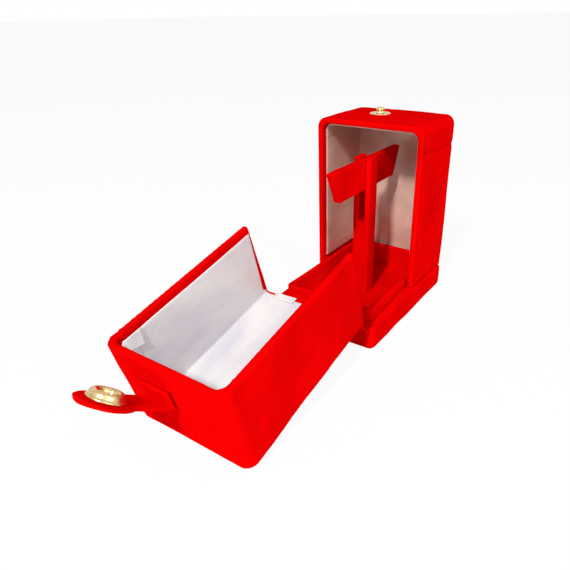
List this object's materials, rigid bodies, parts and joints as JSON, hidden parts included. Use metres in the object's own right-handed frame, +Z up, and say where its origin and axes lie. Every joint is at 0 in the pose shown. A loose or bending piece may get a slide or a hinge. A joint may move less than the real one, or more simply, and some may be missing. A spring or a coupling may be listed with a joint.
{
  "type": "earring box",
  "caption": "Two-door velvet earring box: tray with T-shaped stand, two satin-lined halves hinged at the base, and a strap with a press stud.",
  "frame": {"origin": "middle of the base's underside, on the table", "axes": "+X from the opened front half towards the standing rear half, +Y along the hinges, +Z up"},
  "size_m": [0.1982, 0.055, 0.0943],
  "materials": {
    "velvet": "short-pile velvet",
    "board": "moulded board",
    "satin": "white satin on card",
    "brass": "polished, gold coloured"
  },
  "bodies": {
    "base": {"bottom_pad": "velvet", "base_shell": "velvet", "inner_tray": "velvet", "floor_pad": "velvet", "stand_post": "velvet", "crossbar": "velvet", "front_hinge_strip": "velvet", "rear_hinge_strip": "velvet"},
    "front_case": {"front_case_cover": "velvet", "front_case_board": "board", "front_lining_wrap": "satin", "front_lining_arch": "satin", "front_lining_tab": "satin", "strap_root": "velvet"},
    "rear_case": {"rear_case_cover": "velvet", "rear_case_board": "board", "rear_lining_wrap": "satin", "rear_lining_arch": "satin", "snap_stud": "brass", "stud_washer": "brass"},
    "strap_neck": {"strap_neck": "velvet"},
    "strap_tongue": {"strap_tongue": "velvet", "snap_socket": "brass", "snap_cap": "brass"}
  },
  "joints": [
    {"name": "front_hinge", "type": "hinge", "parent": "base", "child": "front_case", "pos_m": [-0.0455, 0, 0.0119], "axis": [0, 1, 0], "range_deg": [0, 103.12]},
    {"name": "rear_hinge", "type": "hinge", "parent": "base", "child": "rear_case", "pos_m": [0.0455, 0, 0.0119], "axis": [0, -1, 0], "range_deg": [-103.12, 0]},
    {"name": "strap_fold", "type": "hinge", "parent": "front_case", "child": "strap_neck", "pos_m": [-0.13151, 0.005, 0.02804], "axis": [0, 1, 0], "range_deg": [0, 173.5]},
    {"name": "strap_curl", "type": "hinge", "parent": "strap_neck", "child": "strap_tongue", "pos_m": [-0.12964, 0.005, 0.02001], "axis": [0, -1, 0], "range_deg": [0, 140.5]}
  ],
  "couplings": [
    {"joint": "strap_curl", "follows": "strap_fold", "ratio": 0.8098}
  ]
}
